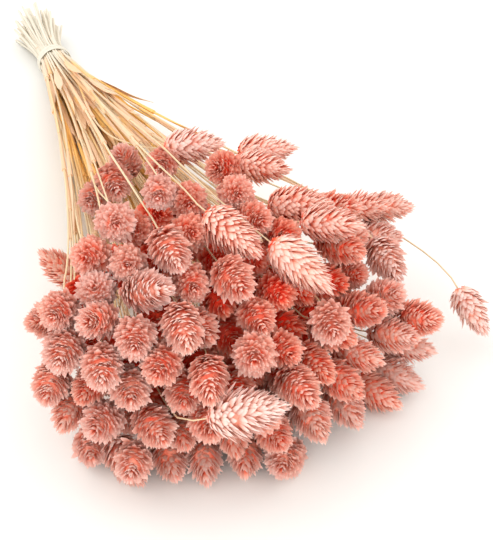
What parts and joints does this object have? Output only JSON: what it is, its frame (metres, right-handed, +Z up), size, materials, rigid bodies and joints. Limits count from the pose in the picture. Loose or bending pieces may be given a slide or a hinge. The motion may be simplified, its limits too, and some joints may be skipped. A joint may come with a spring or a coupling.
{
  "type": "bunch of dried canary grass",
  "caption": "Bunch of dried canary grass lying on its side: egg-shaped scaly heads dyed pink on thin straw stems that fan out from a tie near the cut ends",
  "frame": {"origin": "centre of the bounding box in plan, on the surface that the bunch lies on", "axes": "+Z up; +Y along the bunch, from the heads towards the cut ends; +X to the right for a viewer who faces the heads"},
  "size_m": [0.251, 0.549, 0.1163],
  "materials": {
    "pink_heads": "matt papery glumes, dyed coral pink, paler at the tips",
    "straw": "dry straw with a faint sheen",
    "tie_cream": "matt raffia"
  },
  "bodies": {
    "root": {"heads_01": "pink_heads", "heads_02": "pink_heads", "heads_03": "pink_heads", "heads_04": "pink_heads", "heads_05": "pink_heads", "heads_06": "pink_heads", "heads_07": "pink_heads", "heads_08": "pink_heads", "heads_09": "pink_heads", "heads_10": "pink_heads", "heads_11": "pink_heads", "heads_12": "pink_heads", "heads_13": "pink_heads", "heads_14": "pink_heads", "heads_15": "pink_heads", "heads_16": "pink_heads", "heads_17": "pink_heads", "heads_18": "pink_heads", "heads_19": "pink_heads", "heads_20": "pink_heads", "heads_21": "pink_heads", "heads_22": "pink_heads", "heads_23": "pink_heads", "heads_24": "pink_heads", "heads_25": "pink_heads", "heads_26": "pink_heads", "heads_27": "pink_heads", "heads_28": "pink_heads", "heads_29": "pink_heads", "heads_30": "pink_heads", "heads_31": "pink_heads", "heads_32": "pink_heads", "heads_33": "pink_heads", "heads_34": "pink_heads", "heads_35": "pink_heads", "heads_36": "pink_heads", "heads_37": "pink_heads", "heads_38": "pink_heads", "heads_39": "pink_heads", "heads_40": "pink_heads", "heads_41": "pink_heads", "heads_42": "pink_heads", "heads_43": "pink_heads", "heads_44": "pink_heads", "heads_45": "pink_heads", "heads_46": "pink_heads", "heads_47": "pink_heads", "heads_48": "pink_heads", "heads_49": "pink_heads", "heads_50": "pink_heads", "heads_51": "pink_heads", "heads_52": "pink_heads", "heads_53": "pink_heads", "heads_54": "pink_heads", "heads_55": "pink_heads", "heads_56": "pink_heads", "stems": "straw", "tie": "tie_cream"}
  },
  "joints": []
}
